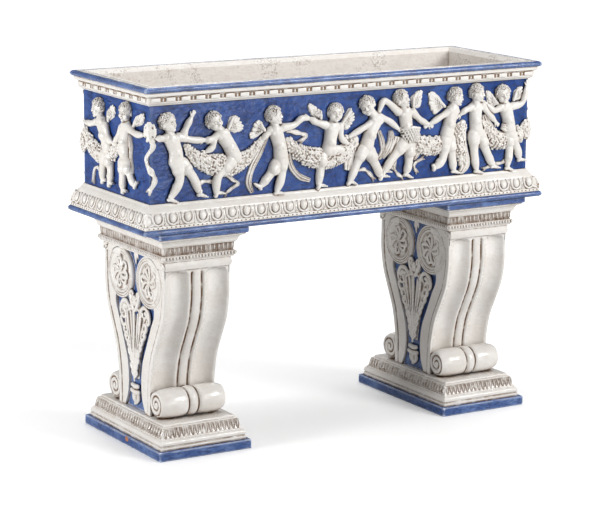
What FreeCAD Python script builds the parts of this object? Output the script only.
"""Glazed terracotta planting trough on two scroll pedestals.

The trough is put together from pressed walls, a floor slab and mitred lengths of moulding, with
sprigged children, swags and ribbons on its four sides. Each pedestal is a plinth, a foot moulding,
two fluted S scrolls with blue webs between them, leaf ornament, a capital moulding and a top slab.

Millimetres, +Z up. X runs along the trough and Y across it. The origin is on the floor, under the middle.
"""

import FreeCAD, Part
import Sketcher
import math
import os
import re

# Driving dimensions
DIMENSIONS = {
    # heights of the courses, from the floor up
    "plinth_height": 24,
    "foot_height": 60,
    "console_height": 416,
    "capital_height": 63,
    "slab_height": 16,
    "base_band_height": 14.5,
    "base_moulding_height": 59.5,
    "panel_height": 245,
    "cornice_height": 33,
    "rim_height": 14,
    # trough
    "panel_length": 1144,
    "panel_depth": 366,
    "wall": 18,
    "rim_bevel": 10,
    "floor_thickness": 22,
    "drain_radius": 11,
    "drain_spacing": 130,
    "base_band_reach": 34.5,
    "base_moulding_reach": 30,
    "cornice_reach": 20,
    "rim_lip": 14,
    "rim_reach": 28,
    # relief on the trough
    "head_relief": 20,
    "body_relief": 16,
    "limb_relief": 12,
    "wing_relief": 8,
    "swag_relief": 13,
    "ribbon_relief": 5,
    "corner_relief": 7,
    # pedestals
    "pedestal_spacing": 862,
    "console_width": 188,
    "console_reach": 165,
    "plinth_reach": 39,
    "plinth_depth_reach": 48,
    "slab_reach": 34,
    "slab_depth_reach": 41,
    "foot_reach": 29,
    "foot_depth_reach": 37,
    "capital_reach": 28,
    "capital_depth_reach": 35,
    "hollow_width": 116,
    "hollow_depth": 260,
    "volute_radius": 68,
    "roll_radius": 38,
    "flute_depth": 6,
    "flute_edge": 8,
    "reed_width": 24,
    "web_thickness": 24,
    "web_recess": 10,
    "rosette_radius": 47,
    "rosette_relief": 6,
    "leaf_relief": 8,
    "leaf_rib_relief": 13,
    "leaf_bud_relief": 15,
    # cuts pass the solid that they cut by this much
    "overrun": 10,
}

# Levels and places worked out from the dimensions
RULES = {
    "foot_base": "plinth_height",
    "console_base": "foot_base + foot_height",
    "capital_base": "console_base + console_height",
    "slab_base": "capital_base + capital_height",
    "trough_base": "slab_base + slab_height",
    "moulding_base": "trough_base + base_band_height",
    "panel_base": "moulding_base + base_moulding_height",
    "cornice_base": "panel_base + panel_height",
    "rim_base": "cornice_base + cornice_height",
    "trough_top": "rim_base + rim_height",
    "half_panel_length": "panel_length / 2",
    "half_panel_depth": "panel_depth / 2",
    "console_face": "console_width / 2",
    "web_face": "console_face - web_recess",
    "volute_rise": "console_height - volute_radius",
}

# Outlines as shares of a reach and a height. Two numbers are a corner. Four are an arc: the place
# that it passes through half way, then the place where it ends.
NOSING_shares = [(0, 0), (0.8, 0), (1, 0.5, 0.8, 1), (0, 1)]
BASE_MOULDING_shares = [
    (0, 0), (1, 0), (1, 0.14), (0.87, 0.17), (0.8, 0.52, 0.42, 0.75), (0.42, 0.79),
    (0.2, 0.85, 0.1, 1), (0, 1),
]
FOOT_shares = [
    (1, 0), (1, 0.14), (1, 0.27, 0.88, 0.4), (0.84, 0.42), (0.66, 0.46, 0.58, 0.62),
    (0.5, 0.64), (0.42, 0.9), (0.3, 0.92), (0.3, 1),
]
CAPITAL_shares = [
    (0.3, 0), (0.3, 0.08), (0.58, 0.17, 0.3, 0.26), (0.22, 0.28), (0.3, 0.6), (0.42, 0.62),
    (0.5, 0.66), (0.6, 0.9, 0.94, 0.93), (1, 0.95), (1, 1),
]
SLAB_shares = [(0.9, 0), (1, 0.5, 0.9, 1)]
CORNICE_shares = [(0, 0), (0.25, 0), (0.4, 0.05, 0.6, 0.18), (0.6, 0.68), (1, 0.7), (1, 1)]
RIM_shares = [(0.5, 0), (1, 0.5, 0.5, 1)]

# The scroll's side view, as shares of its reach across and of its height above its base.
SCROLL_outline_shares = [
    (0.82, 0), (0.82, 0.02), (0.52, 0.04), (0.52, 0.195), (0.54, 0.23),
    (0.63, 0.37, 0.79, 0.5), (0.93, 0.62, 1, 0.74), (1, 0.945), (1.05, 0.945), (1.05, 1),
    (0.47, 1), (0.47, 0.84), (0.68, 0.668), (0.52, 0.538, 0.375, 0.416),
    (0.25, 0.303, 0.212, 0.183), (0.25, 0.082, 0.35, 0),
]
FLUTE_outline_shares = [(0.54, 0.245), (0.63, 0.37, 0.79, 0.5), (0.93, 0.62, 1, 0.74), (1, 0.925)]
VOLUTE_across_share = 0.473
ROLL_across_share = 0.697
WEB_outline_shares = [(0.45, 0), (0.37, 0.21), (0.39, 0.28), (0.6, 0.52), (0.79, 0.76), (0.79, 1)]

# The leaf on each side of a pedestal, as shares of the console's reach and height.
LEAF_outline_shares = [
    (0.08, 0.19), (0.12, 0.3, 0.28, 0.39), (0.36, 0.46), (0.46, 0.53, 0.48, 0.61),
    (0.42, 0.665, 0.31, 0.66), (0.2, 0.64, 0.17, 0.7), (0.12, 0.75),
]
LEAF_rib_shares = [(0.04, 0.19), (0.06, 0.4, 0.18, 0.6), (0.1, 0.66), (0.14, 0.71, 0.08, 0.745)]
LEAF_bud_shares = [(0.04, 0.035), (0.13, 0.06, 0.08, 0.115), (0.13, 0.12), (0.13, 0.17), (0.08, 0.175)]

# Limb thicknesses of the children, in hundredths of the panel's height.
HUNDREDTH = 0.01
LIMB_shares = {
    "head": (10.4,),
    "neck": (4.5, 4.5),
    "torso": (8.2, 8, 8.8),
    "arm": (4.2, 3.4, 2.6),
    "leg": (7, 5, 3.4, 2.6),
}

# The children of the long sides. "at" is a share of half the panel's length from its middle. Everything
# else is across from there and up from the panel's foot, in hundredths of the panel's height.
LONG_SIDE_children_shares = [
    {"at": -0.874, "head": (-11, 82), "torso": [(-7, 66), (-2, 53), (-1, 42)],
     "arms": [[(-13, 67), (-19, 67), (-24, 68)], [(7, 69), (11, 78), (16, 86)],
              [(1, 67), (18, 63), (31, 62)]],
     "legs": [[(0, 39), (2, 25), (-8, 10), (-2, 4)], [(6, 39), (18, 27), (26, 12), (35, 4)]],
     "wings": []},
    {"at": -0.638, "head": (-13, 80), "torso": [(-4, 67), (5, 54), (11, 42)],
     "arms": [[(-8, 66), (-18, 62), (-24, 62)], [(-14, 61), (-15, 54), (-22, 50)]],
     "legs": [[(6, 38), (-9, 25), (-10, 10), (-14, 5)]],
     "wings": [[(3, 75), (9, 82), (15, 82), (21, 71), (6, 66)]]},
    {"at": -0.371, "head": (-5, 81), "torso": [(-3, 66), (2, 51), (4, 39)],
     "arms": [[(6, 68), (19, 70), (28, 76), (38, 75)], [(-9, 66), (-14, 62), (-18, 58)]],
     "legs": [[(5, 34), (4, 20), (-1, 7), (5, 4)], [(-1, 31), (-11, 21), (-20, 13), (-27, 18)]],
     "wings": [[(-13, 69), (-20, 74), (-25, 75), (-32, 61), (-20, 63)]]},
    {"at": -0.091, "head": (4, 79), "torso": [(1, 65), (-2, 50), (-3, 42)],
     "arms": [[(-8, 67), (-20, 71), (-27, 75)], [(10, 64), (12, 52), (20, 45)]],
     "legs": [[(-4, 40), (8, 40), (16, 36)], [(-11, 34), (-13, 24), (-15, 8), (-19, 4)]],
     "wings": [[(-8, 74), (-13, 81), (-25, 89), (-27, 87), (-21, 75)],
               [(13, 71), (24, 81), (28, 72), (21, 62), (15, 63)]]},
    {"at": 0.105, "head": (-2, 84), "torso": [(10, 69), (2, 54), (-2, 41)],
     "arms": [[(6, 67), (-9, 60), (-24, 53)], [(13, 71), (25, 66), (37, 57)]],
     "legs": [[(-7, 37), (-16, 23), (-23, 9), (-35, 4)], [(2, 35), (11, 21), (17, 11), (11, 4)]],
     "wings": []},
    {"at": 0.297, "head": (-4, 88), "torso": [(1, 74), (3, 60), (6, 47)],
     "arms": [[(-8, 75), (-26, 88), (-32, 77)], [(11, 73), (21, 64), (31, 59)]],
     "legs": [[(0, 40), (-16, 26), (-25, 15), (-29, 10)], [(8, 38), (7, 21), (4, 12), (10, 4)]],
     "wings": [[(9, 80), (12, 89), (22, 95), (21, 82), (17, 77)]]},
    {"at": 0.545, "head": (8, 86), "torso": [(5, 73), (1, 59), (-2, 46)],
     "arms": [[(0, 71), (-13, 65), (-25, 59)]],
     "legs": [[(-4, 40), (-8, 22), (-18, 15), (-19, 8)], [(2, 40), (6, 21), (8, 11), (14, 6)]],
     "wings": [[(-24, 92), (-7, 81), (-6, 75), (-18, 71), (-23, 79)]]},
    {"at": 0.7, "head": (0, 88), "torso": [(-1, 73), (-1, 60), (1, 46)],
     "arms": [[(-7, 73), (-15, 71), (-21, 67)], [(8, 74), (16, 65), (25, 56)]],
     "legs": [[(-3, 43), (-2, 24), (2, 9), (8, 4)], [(6, 42), (17, 22), (24, 12), (33, 6)]],
     "wings": []},
    {"at": 0.874, "head": (-6, 85), "torso": [(-2, 71), (2, 58), (4, 46)],
     "arms": [[(-8, 71), (-18, 68), (-26, 74)], [(8, 71), (19, 73), (24, 82), (26, 91)]],
     "legs": [[(6, 40), (14, 27), (19, 16), (26, 13)], [(3, 39), (5, 24), (3, 9), (8, 4)]],
     "wings": [[(-26, 89), (-14, 79), (-12, 73), (-20, 72), (-25, 82)],
               [(7, 80), (13, 87), (20, 91), (20, 81), (14, 76)]]},
]
SHORT_SIDE_children_shares = [
    {"at": -0.36, "head": (-7, 85), "torso": [(-2, 72), (6, 60), (13, 47)],
     "arms": [[(-8, 71), (-22, 67), (-38, 66)], [(8, 68), (15, 57), (23, 53)]],
     "legs": [[(7, 38), (2, 25), (0, 14), (-5, 5)], [(15, 38), (18, 24), (15, 13), (11, 5)]],
     "wings": [[(8, 75), (12, 84), (20, 90), (26, 88), (20, 75)]]},
    {"at": 0.34, "head": (2, 88), "torso": [(2, 74), (-1, 60), (-2, 46)],
     "arms": [[(9, 73), (26, 69), (40, 70)], [(-7, 71), (-16, 60), (-23, 54)]],
     "legs": [[(-4, 36), (-5, 21), (-6, 11), (-11, 5)], [(3, 36), (12, 24), (19, 19), (23, 24)]],
     "wings": [[(11, 76), (24, 86), (36, 90), (38, 86), (28, 77)]]},
]

# Swags, loose cloth and ribbons: where each hangs, as above, then its points with a half thickness.
LONG_SIDE_swags_shares = [
    (-0.638, [(-45, 57, 3), (-36, 47, 6), (-24, 39, 8.5), (-8, 35, 10.5), (8, 33, 9.5), (22, 38, 7.5),
              (35, 48, 5), (47, 59, 3.5)]),
    (-0.175, [(-33, 54, 4), (-22, 42, 7), (-6, 35, 9.5), (10, 31, 10), (27, 33, 9.5), (39, 38, 8),
              (49, 48, 6)]),
    (0.42, [(-18, 49, 5), (-9, 39, 8), (3, 35, 9.5), (16, 35, 9), (27, 38, 7)]),
    (0.615, [(3, 56, 5), (-2, 44, 8), (0, 30, 7), (5, 12, 5.5)]),
    (0.84, [(-22, 56, 4), (-14, 43, 8), (-3, 34, 9.5), (10, 35, 8), (20, 38, 8), (27, 40, 9)]),
]
SHORT_SIDE_swags_shares = [
    (0, [(-70, 59, 4), (-60, 48, 7), (-46, 40, 9), (-26, 36, 9.5), (-8, 40, 8), (8, 50, 5)]),
]
LONG_SIDE_ribbons_shares = [
    (-0.734, [(-10, 13, 2), (-3, 19, 2.2), (8, 18, 2)]),
    (-0.603, [(-7, 24, 1.8), (2, 18, 2), (8, 14, 2), (0, 9, 2), (-7, 4, 1.6)]),
    (-0.49, [(15, 58, 2), (5, 40, 2.6), (-4, 25, 2.6), (-5, 15, 2), (-1, 5, 2)]),
    (-0.262, [(-14, 64, 2.4), (0, 61, 2.4), (9, 57, 2.2), (3, 52, 2)]),
    (-0.253, [(-13, 34, 2.4), (-8, 22, 2.4), (1, 14, 2.4), (12, 11, 2)]),
    (0, [(3, 51, 3), (6, 38, 6), (3, 25, 3)]),
    (0.105, [(-14, 15, 1.8), (-4, 16, 2), (2, 12, 2), (8, 5, 1.8)]),
    (0.22, [(2, 48, 5), (-2, 38, 5)]),
    (0.227, [(-7, 15, 2), (4, 15, 2), (11, 7, 2), (16, 4, 2)]),
    (0.385, [(5, 22, 1.8), (-4, 18, 2), (-5, 13, 2), (-2, 8, 1.6)]),
    (0.822, [(-16, 4, 1.8), (-3, 8, 2), (8, 9, 2), (20, 15, 1.8)]),
]
SHORT_SIDE_ribbons_shares = [
    (-0.55, [(-10, 6, 2), (-7, 19, 2.2), (2, 21, 2.2), (8, 16, 2)]),
    (0.7, [(-1, 66, 2), (1, 54, 2.2), (-2, 42, 2.2), (2, 29, 2.2), (-1, 19, 2)]),
]
CORNER_ribbon_shares = [(0, 66, 2.4), (3, 58, 3), (-6, 45, 3), (2, 33, 3), (5, 25, 3), (-2, 12, 2.6)]
CORNER_flower_shares = (0, 75, 7.5)

SIDES = {"front": 0, "right": 90, "back": 180, "left": 270}
PEDESTALS = {"left": -1, "right": 1}
FACINGS = {"front": -1, "back": 1}

DOC = FreeCAD.newDocument("planter")
SHEET = DOC.addObject("Spreadsheet::Sheet", "Dimensions")
SUB_PARTS = []


def fill_sheet():
    """Write each driving dimension into the sheet, with its alias."""
    for row, (alias, number) in enumerate(DIMENSIONS.items(), 1):
        SHEET.set(f"A{row}", alias)
        SHEET.set(f"B{row}", str(number))
        SHEET.setAlias(f"B{row}", alias)
    DOC.recompute()


def bound(rule):
    """A rule in plain aliases as an expression on the sheet, with the worked-out places written out."""
    def word(match):
        name = match.group(0)
        if name in RULES:
            return "(" + bound(RULES[name]) + ")"
        return "Dimensions." + name
    return re.sub(r"[a-z][a-z_]*", word, rule)


def value(rule):
    """The number that a rule stands for now."""
    return float(SHEET.evalExpression(bound(rule)))


def bind(thing, field, rule):
    """Tie one property of an object to the sheet."""
    thing.setExpression(field, bound(rule))


def shaped(shares, reach, height, base="0", sign="", middle="0"):
    """Rules for an outline that is given as shares of a reach and a height."""
    outline = []
    for stretch in shares:
        rules = []
        for place, share in enumerate(stretch):
            if place % 2 == 0:
                rules.append(f"{sign}({middle} + ({reach}) * {share})")
            else:
                rules.append(f"{base} + ({height}) * {share}")
        outline.append(tuple(rules))
    return outline


def backwards(outline):
    """The same open outline, run from its last point to its first."""
    way_back = []
    for step in range(len(outline) - 1, -1, -1):
        after = outline[step + 1] if step + 1 < len(outline) else ()
        middle = after[:2] if len(after) == 4 else ()
        way_back.append(tuple(middle) + tuple(outline[step][-2:]))
    return way_back


def mirrored(outline):
    """The same outline on both sides of the upright axis, as one closed loop from right to left."""
    far_side = []
    for stretch in backwards(outline):
        far_side.append(tuple(f"-({rule})" if place % 2 == 0 else rule
                              for place, rule in enumerate(stretch)))
    return outline + far_side


def new_body(label, along="0", turn=0):
    """An empty body that stands along the X axis and is turned about Z."""
    body = DOC.addObject("PartDesign::Body", label + "_body")
    body.Placement.Rotation = FreeCAD.Rotation(FreeCAD.Vector(0, 0, 1), turn)
    bind(body, "Placement.Base.x", along)
    return body


def new_sketch(body, role, lift="0"):
    """A sketch on one of the body's own origin planes, lifted off it by a rule."""
    sketch = body.newObject("Sketcher::SketchObject", body.Name + "_sketch")
    plane = [feature for feature in body.Origin.OriginFeatures if feature.Role == role][0]
    sketch.AttachmentSupport = [(plane, "")]
    sketch.MapMode = "FlatFace"
    bind(sketch, "AttachmentOffset.Base.z", lift)
    return sketch


def hold(sketch, geometry, end, across, up):
    """Hold a point of the sketch at a place that the sheet gives."""
    for kind, rule in (("DistanceX", across), ("DistanceY", up)):
        index = sketch.addConstraint(Sketcher.Constraint(kind, geometry, end, value(rule)))
        name = f"{kind}_{geometry}_{end}"
        sketch.renameConstraint(index, name)
        bind(sketch, "Constraints." + name, rule)


def draw(sketch, outline):
    """A closed outline of lines and arcs, each corner held by the sheet."""
    places = [FreeCAD.Vector(value(step[-2]), value(step[-1]), 0) for step in outline]
    ends = []
    for number, step in enumerate(outline):
        start, finish = places[number - 1], places[number]
        if len(step) == 4:
            middle = FreeCAD.Vector(value(step[0]), value(step[1]), 0)
            turns_left = (middle - start).cross(finish - middle).z > 0
            first, last = (start, finish) if turns_left else (finish, start)
            geometry = sketch.addGeometry(Part.Arc(first, middle, last))
            ends.append((geometry, 1, 2) if turns_left else (geometry, 2, 1))
        else:
            geometry = sketch.addGeometry(Part.LineSegment(start, finish))
            ends.append((geometry, 1, 2))
    for number, (geometry, begin, _) in enumerate(ends):
        before, _, finish = ends[number - 1]
        sketch.addConstraint(Sketcher.Constraint("Coincident", before, finish, geometry, begin))
    for number, step in enumerate(outline):
        geometry, _, finish = ends[number]
        hold(sketch, geometry, finish, step[-2], step[-1])
        if len(step) == 4:
            middle = FreeCAD.Vector(value(step[0]), value(step[1]), 0)
            point = sketch.addGeometry(Part.Point(middle), True)
            hold(sketch, point, 1, step[0], step[1])
            sketch.addConstraint(Sketcher.Constraint("PointOnObject", point, 1, geometry))


def draw_circle(sketch, across, up, radius):
    """A circle whose centre and radius the sheet gives."""
    centre = FreeCAD.Vector(value(across), value(up), 0)
    circle = sketch.addGeometry(Part.Circle(centre, FreeCAD.Vector(0, 0, 1), value(radius)))
    hold(sketch, circle, 3, across, up)
    index = sketch.addConstraint(Sketcher.Constraint("Radius", circle, value(radius)))
    sketch.renameConstraint(index, "radius")
    bind(sketch, "Constraints.radius", radius)


def pad(body, sketch, length, middle=True, away=False):
    """Raise a sketch to a length, either to both sides of its plane or to one."""
    feature = body.newObject("PartDesign::Pad", body.Name + "_pad")
    feature.Profile = (sketch, [""])
    bind(feature, "Length", length)
    feature.SideType = "Symmetric" if middle else "One side"
    feature.Reversed = away
    return feature


def pocket(body, sketch, length=None):
    """Cut a sketch through the body, or over a length about its plane."""
    feature = body.newObject("PartDesign::Pocket", body.Name + "_pocket")
    feature.Profile = (sketch, [""])
    if length is None:
        feature.Type = "ThroughAll"
    else:
        bind(feature, "Length", length)
    feature.SideType = "Symmetric"
    return feature


def keep(thing, label):
    """Name a finished sub-part."""
    thing.Label = label
    SUB_PARTS.append(thing)
    return thing


def boolean(kind, label, **inputs):
    """A boolean of finished shapes."""
    thing = DOC.addObject("Part::" + kind, label + "_" + kind.lower())
    for field, content in inputs.items():
        setattr(thing, field, content)
    return thing


def half_and_run(side):
    """How far a side's panel stands from the middle, and half of how long it is."""
    if side in ("front", "back"):
        return "half_panel_depth", "half_panel_length"
    return "half_panel_length", "half_panel_depth"


def mitred_length(label, side, outline, reach):
    """A length of moulding along one side, its outline measured out from the panel, mitred at both ends."""
    half, run = half_and_run(side)
    body = new_body(label, turn=SIDES[side])
    section = []
    for stretch in outline:
        section.append(tuple(f"-({half} + {rule})" if place % 2 == 0 else rule
                             for place, rule in enumerate(stretch)))
    profile = new_sketch(body, "YZ_Plane")
    draw(profile, section)
    pad(body, profile, f"2 * ({run} + {reach})")
    mitres = new_sketch(body, "XY_Plane")
    inner, outer = "wall + overrun", f"{reach} + overrun"
    for sign in ("", "-"):
        draw(mitres, [
            (f"{sign}({run} - ({inner}))", f"-({half} - ({inner}))"),
            (f"{sign}({run} + {outer})", f"-({half} + {outer})"),
            (f"{sign}({run} + {outer})", f"-({half} - ({inner}))"),
        ])
    pocket(body, mitres)
    return keep(body, label)


def trough_walls():
    """Four walls, bevelled inside at the top, and a floor slab with drainage holes between them."""
    outline = [
        ("-(wall)", "trough_base"), ("0", "trough_base"), ("0", "trough_top"),
        ("-(wall - rim_bevel)", "trough_top"), ("-(wall)", "trough_top - rim_bevel"),
    ]
    for side in SIDES:
        name = side + "_wall" if side in ("front", "back") else side + "_end_wall"
        mitred_length(name, side, outline, "0")
    body = new_body("floor_slab")
    plan = new_sketch(body, "XY_Plane", "trough_base")
    reach_x, reach_y = "(half_panel_length - wall)", "(half_panel_depth - wall)"
    draw(plan, [(f"-{reach_x}", f"-{reach_y}"), (reach_x, f"-{reach_y}"), (reach_x, reach_y),
                (f"-{reach_x}", reach_y)])
    pad(body, plan, "floor_thickness", middle=False)
    hole = new_sketch(body, "XY_Plane", "trough_base")
    draw_circle(hole, "-(drain_spacing)", "0", "drain_radius")
    first_hole = pocket(body, hole, "2 * (floor_thickness + overrun)")
    DOC.recompute()
    holes = body.newObject("PartDesign::LinearPattern", "floor_slab_holes")
    holes.Originals = [first_hole]
    holes.Direction = (plan, ["H_Axis"])
    bind(holes, "Length", "2 * drain_spacing")
    holes.Occurrences = 3
    body.Tip = holes
    keep(body, "floor_slab")


def trough_mouldings():
    """The blue bands and white mouldings, a mitred length of each to every side."""
    lip = shaped(CORNICE_shares, "cornice_reach", "cornice_height", "cornice_base")
    lip += [("rim_lip", "rim_base"), ("rim_lip", "trough_top"), ("0", "trough_top")]
    nose = [("rim_lip", "rim_base")]
    nose += shaped(RIM_shares, "rim_reach - rim_lip", "rim_height", "rim_base", middle="rim_lip")
    nose += [("rim_lip", "trough_top")]
    courses = {
        "base_band": (shaped(NOSING_shares, "base_band_reach", "base_band_height", "trough_base"),
                      "base_band_reach"),
        "base_moulding": (shaped(BASE_MOULDING_shares, "base_moulding_reach", "base_moulding_height",
                                 "moulding_base"), "base_moulding_reach"),
        "cornice": (lip, "cornice_reach"),
        "rim_band": (nose, "rim_reach"),
    }
    for course, (outline, reach) in courses.items():
        for side in SIDES:
            mitred_length(f"{side}_{course}", side, outline, reach)


def limb(first, second):
    """A flat face round two circles, each given as across, up and radius."""
    (across_a, up_a, radius_a), (across_b, up_b, radius_b) = first, second
    start, finish = FreeCAD.Vector(across_a, 0, up_a), FreeCAD.Vector(across_b, 0, up_b)
    gap = (finish - start).Length
    if gap <= abs(radius_a - radius_b):
        return disc(first if radius_a > radius_b else second)
    heading = math.atan2(up_b - up_a, across_b - across_a)
    lean = math.acos((radius_a - radius_b) / gap)

    def rim_point(centre, radius, angle):
        return centre + FreeCAD.Vector(radius * math.cos(angle), 0, radius * math.sin(angle))

    left_a, right_a = rim_point(start, radius_a, heading + lean), rim_point(start, radius_a, heading - lean)
    left_b, right_b = rim_point(finish, radius_b, heading + lean), rim_point(finish, radius_b, heading - lean)
    back = rim_point(start, radius_a, heading + math.pi)
    front = rim_point(finish, radius_b, heading)
    edges = [
        Part.Arc(left_a, back, right_a).toShape(),
        Part.LineSegment(right_a, right_b).toShape(),
        Part.Arc(right_b, front, left_b).toShape(),
        Part.LineSegment(left_b, left_a).toShape(),
    ]
    return Part.Face(Part.Wire(edges))


def disc(circle):
    """A flat round face, given as across, up and radius."""
    across, up, radius = circle
    centre = FreeCAD.Vector(across, 0, up)
    return Part.Face(Part.Wire(Part.Circle(centre, FreeCAD.Vector(0, -1, 0), radius).toShape()))


def raised(face, relief):
    """A flat face raised outwards from its panel."""
    return face.extrude(FreeCAD.Vector(0, -value(relief), 0))


def chain(points, relief):
    """Tapered limbs through a run of circles."""
    return [raised(limb(first, second), relief) for first, second in zip(points, points[1:])]


def placed(points, at, run, radii=()):
    """Points in hundredths of the panel's height, as millimetres from the middle of the side.

    A radius comes third, either from the point itself or from the limb's own radii. A corner has none.
    """
    unit = value("panel_height") * HUNDREDTH
    foot = value("panel_base")
    middle = value(run) * at
    circles = []
    for number, (across, up, *own_radius) in enumerate(points):
        radius = own_radius or radii[number:number + 1] or radii[-1:]
        circles.append((middle + across * unit, foot + up * unit, *(share * unit for share in radius)))
    return circles


def child_solids(child, run):
    """One child: head, torso, arms, legs and wings, each raised by its own relief."""
    at = child["at"]
    head = placed([child["head"]], at, run, LIMB_shares["head"])
    torso = placed(child["torso"], at, run, LIMB_shares["torso"])
    neck = placed([child["head"], child["torso"][0]], at, run, LIMB_shares["neck"])
    solids = [raised(disc(head[0]), "head_relief")]
    solids += chain(torso, "body_relief") + chain(neck, "body_relief")
    for arm in child["arms"]:
        solids += chain(placed(arm, at, run, LIMB_shares["arm"]), "limb_relief")
    for leg in child["legs"]:
        solids += chain(placed(leg, at, run, LIMB_shares["leg"]), "limb_relief")
    for wing in child["wings"]:
        corners = [FreeCAD.Vector(across, 0, up) for across, up in placed(wing, at, run)]
        face = Part.Face(Part.makePolygon(corners + corners[:1]))
        solids.append(raised(face, "wing_relief"))
    return solids


def panel_piece(label, side, shape):
    """A relief that lies flat on a side's panel."""
    half, _ = half_and_run(side)
    shape = shape.copy()
    shape.translate(FreeCAD.Vector(0, -value(half), 0))
    shape.rotate(FreeCAD.Vector(0, 0, 0), FreeCAD.Vector(0, 0, 1), SIDES[side])
    feature = DOC.addObject("Part::Feature", label + "_relief")
    feature.Shape = shape
    return keep(feature, label)


def fused(solids):
    """One clean shape from overlapping solids."""
    return solids[0].multiFuse(solids[1:]).removeSplitter()


def side_reliefs():
    """The sprigged children, swags and ribbons of each side, cut round each other."""
    corners = corner_solids()
    for names, children, swags, ribbons in (
            (("front", "back"), LONG_SIDE_children_shares, LONG_SIDE_swags_shares, LONG_SIDE_ribbons_shares),
            (("left", "right"), SHORT_SIDE_children_shares, SHORT_SIDE_swags_shares,
             SHORT_SIDE_ribbons_shares)):
        half, run = half_and_run(names[0])
        figures = fused([solid for child in children for solid in child_solids(child, run)])
        swag_solids = []
        for at, points in swags:
            swag_solids += chain(placed(points, at, run), "swag_relief")
        swag = fused(swag_solids).cut(figures)
        ribbon_solids = []
        for at, points in ribbons:
            ribbon_solids += chain(placed(points, at, run), "ribbon_relief")
        ribbon = fused(ribbon_solids).cut(figures).cut(swag)
        for side in names:
            panel_piece(side + "_children", side, figures)
            panel_piece(side + "_swags", side, swag)
            panel_piece(side + "_ribbons", side, ribbon)
    feature = DOC.addObject("Part::Feature", "corner_ribbons_relief")
    reliefs = [thing.Shape for thing in SUB_PARTS if thing.Name.endswith("_relief")]
    feature.Shape = corners.cut(reliefs)
    keep(feature, "corner_ribbons")


def corner_solids():
    """A ribbon and its flower knot on each upright corner, wrapped over the edge of the panel."""
    long_half, short_half = value("half_panel_length"), value("half_panel_depth")
    relief = value("corner_relief")
    circles = placed(CORNER_ribbon_shares, 0, "half_panel_length")
    flower = placed([CORNER_flower_shares], 0, "half_panel_length")[0]
    faces = [limb(first, second) for first, second in zip(circles, circles[1:])]
    faces.append(disc(flower))
    thickness = FreeCAD.Vector(0, -2 * relief, 0)
    strip = fused([face.extrude(thickness) for face in faces])
    strip.translate(FreeCAD.Vector(0, relief, 0))
    panel = Part.makeBox(2 * long_half, 2 * short_half, value("trough_top"),
                         FreeCAD.Vector(-long_half, -short_half, 0))
    pieces = []
    for quarter, (sign_x, sign_y) in enumerate(((-1, -1), (1, -1), (1, 1), (-1, 1))):
        piece = strip.copy()
        piece.rotate(FreeCAD.Vector(0, 0, 0), FreeCAD.Vector(0, 0, 1), 90 * quarter - 45)
        piece.translate(FreeCAD.Vector(sign_x * long_half, sign_y * short_half, 0))
        pieces.append(piece.cut(panel))
    return Part.makeCompound(pieces)


def moulded_block(label, along, shares, reach, depth_reach, height, base, hollow=True):
    """A block whose moulding runs round all four sides: one outline along it cut by one across it."""
    blocks = []
    for role, half, out in (("YZ_Plane", "console_reach", depth_reach), ("XZ_Plane", "console_face", reach)):
        body = new_body(label + role[:2], along)
        profile = new_sketch(body, role)
        draw(profile, mirrored(shaped(shares, out, height, base, middle=half)))
        pad(body, profile, f"2 * (console_reach + {depth_reach} + overrun)")
        blocks.append(body)
    block = boolean("Common", label, Base=blocks[0], Tool=blocks[1])
    if hollow:
        shaft = DOC.addObject("Part::Box", label + "_shaft")
        bind(shaft, "Length", "hollow_width")
        bind(shaft, "Width", "hollow_depth")
        bind(shaft, "Height", f"{height} + 2 * overrun")
        bind(shaft, "Placement.Base.x", f"{along} - hollow_width / 2")
        bind(shaft, "Placement.Base.y", "-(hollow_depth / 2)")
        bind(shaft, "Placement.Base.z", f"{base} - overrun")
        block = boolean("Cut", label, Base=block, Tool=shaft)
    return keep(block, label)


def scroll(label, along, facing):
    """One fluted S slab with the volute above and the roll below, facing the front or the back."""
    sign = "-" if FACINGS[facing] < 0 else ""
    body = new_body(label, along)

    def side_view(shares, shift="0"):
        return shaped(shares, "console_reach", "console_height", "console_base", sign, shift)

    strap = new_sketch(body, "YZ_Plane")
    draw(strap, side_view(SCROLL_outline_shares))
    pad(body, strap, "console_width")
    outside, edge, floor, core = [side_view(FLUTE_outline_shares, shift) for shift in (
        "overrun", "0", "-(flute_depth)", "-(2 * flute_depth)")]
    flute = new_sketch(body, "YZ_Plane")
    draw(flute, outside + backwards(floor))
    pocket(body, flute, "console_width - 2 * flute_edge")
    reed = new_sketch(body, "YZ_Plane")
    draw(reed, edge + backwards(core))
    pad(body, reed, "reed_width")
    volute = new_sketch(body, "YZ_Plane")
    draw_circle(volute, f"{sign}(console_reach * {VOLUTE_across_share})", "console_base + volute_rise",
                "volute_radius")
    pad(body, volute, "console_width")
    roll = new_sketch(body, "YZ_Plane")
    draw_circle(roll, f"{sign}(console_reach * {ROLL_across_share})", "console_base + roll_radius",
                "roll_radius")
    pad(body, roll, "console_width")
    return keep(body, label)


def side_plane(outward):
    """Signs for a sketch plane on the pedestal's outer or inner side face."""
    return "" if outward > 0 else "-"


def web(label, along, outward, scrolls):
    """The blue ground between the two scrolls, set back from their side faces."""
    body = new_body(label, along)
    sign = side_plane(outward)
    plate = new_sketch(body, "YZ_Plane", f"{sign}(web_face)")
    draw(plate, mirrored(shaped(WEB_outline_shares, "console_reach", "console_height", "console_base")))
    pad(body, plate, "web_thickness", middle=False, away=outward > 0)
    clear_of_front = boolean("Cut", label + "_front", Base=body, Tool=scrolls[0])
    return keep(boolean("Cut", label, Base=clear_of_front, Tool=scrolls[1]), label)


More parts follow.
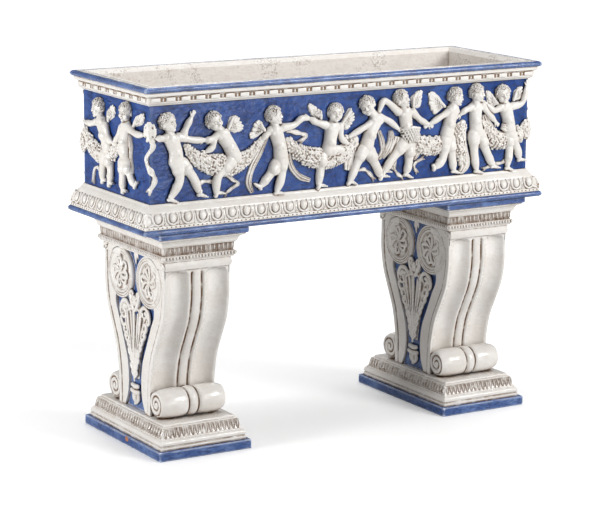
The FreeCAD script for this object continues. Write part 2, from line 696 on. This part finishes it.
def leaf(label, along, outward):
    """The acanthus leaf, its calyx and rib, and the tie and bud below it, in three thicknesses."""
    body = new_body(label, along)
    sign = side_plane(outward)
    for shares, relief in ((LEAF_outline_shares, "leaf_relief"), (LEAF_rib_shares, "leaf_rib_relief"),
                           (LEAF_bud_shares, "leaf_bud_relief")):
        layer = new_sketch(body, "YZ_Plane", f"{sign}(web_face)")
        draw(layer, mirrored(shaped(shares, "console_reach", "console_height", "console_base")))
        pad(body, layer, relief, middle=False, away=outward < 0)
    return keep(body, label)


def rosettes(label, along, outward):
    """The two low rosettes in the eyes of the volutes."""
    discs = []
    for facing, side in FACINGS.items():
        disc_shape = DOC.addObject("Part::Cone", f"{label}_{facing}")
        bind(disc_shape, "Radius1", "rosette_radius")
        bind(disc_shape, "Radius2", "rosette_radius - rosette_relief")
        bind(disc_shape, "Height", "rosette_relief")
        disc_shape.Placement.Rotation = FreeCAD.Rotation(FreeCAD.Vector(0, 1, 0), 90 * outward)
        bind(disc_shape, "Placement.Base.x", f"{along} + {outward} * console_face")
        bind(disc_shape, "Placement.Base.y", f"{side} * console_reach * {VOLUTE_across_share}")
        bind(disc_shape, "Placement.Base.z", "console_base + volute_rise")
        discs.append(disc_shape)
    return keep(boolean("MultiFuse", label, Shapes=discs), label)


def pedestal(name):
    """One scroll pedestal. Its outer side faces away from the other pedestal."""
    outside = PEDESTALS[name]
    along = f"{outside} * pedestal_spacing / 2"
    moulded_block(f"{name}_plinth", along, SLAB_shares, "plinth_reach", "plinth_depth_reach",
                  "plinth_height", "0")
    moulded_block(f"{name}_foot_moulding", along, FOOT_shares, "foot_reach", "foot_depth_reach",
                  "foot_height", "foot_base")
    scrolls = [scroll(f"{name}_{facing}_scroll", along, facing) for facing in FACINGS]
    for where, outward in (("outer", outside), ("inner", -outside)):
        web(f"{name}_{where}_web", along, outward, scrolls)
        leaf(f"{name}_{where}_leaf", along, outward)
        rosettes(f"{name}_{where}_rosettes", along, outward)
    moulded_block(f"{name}_capital_moulding", along, CAPITAL_shares, "capital_reach",
                  "capital_depth_reach", "capital_height", "capital_base")
    moulded_block(f"{name}_top_slab", along, SLAB_shares, "slab_reach", "slab_depth_reach",
                  "slab_height", "slab_base", hollow=False)


def check_and_write():
    """Stop on any failed object, then write one file to each sub-part."""
    DOC.recompute()
    for thing in DOC.Objects:
        if "Invalid" in thing.State or "Error" in thing.State:
            raise RuntimeError(f"{thing.Name} failed: {thing.State}")
    for thing in SUB_PARTS:
        if thing.Shape.isNull() or not thing.Shape.isValid():
            raise RuntimeError(f"{thing.Label} has no valid shape")
    os.makedirs("parts", exist_ok=True)
    for thing in SUB_PARTS:
        thing.Shape.exportStep(f"parts/{thing.Label}.step")
        print(f"{thing.Label}: {len(thing.Shape.Solids)} solid(s), {thing.Shape.Volume / 1e3:.1f} cm3")


fill_sheet()
trough_walls()
trough_mouldings()
side_reliefs()
for pedestal_name in PEDESTALS:
    pedestal(pedestal_name)
check_and_write()
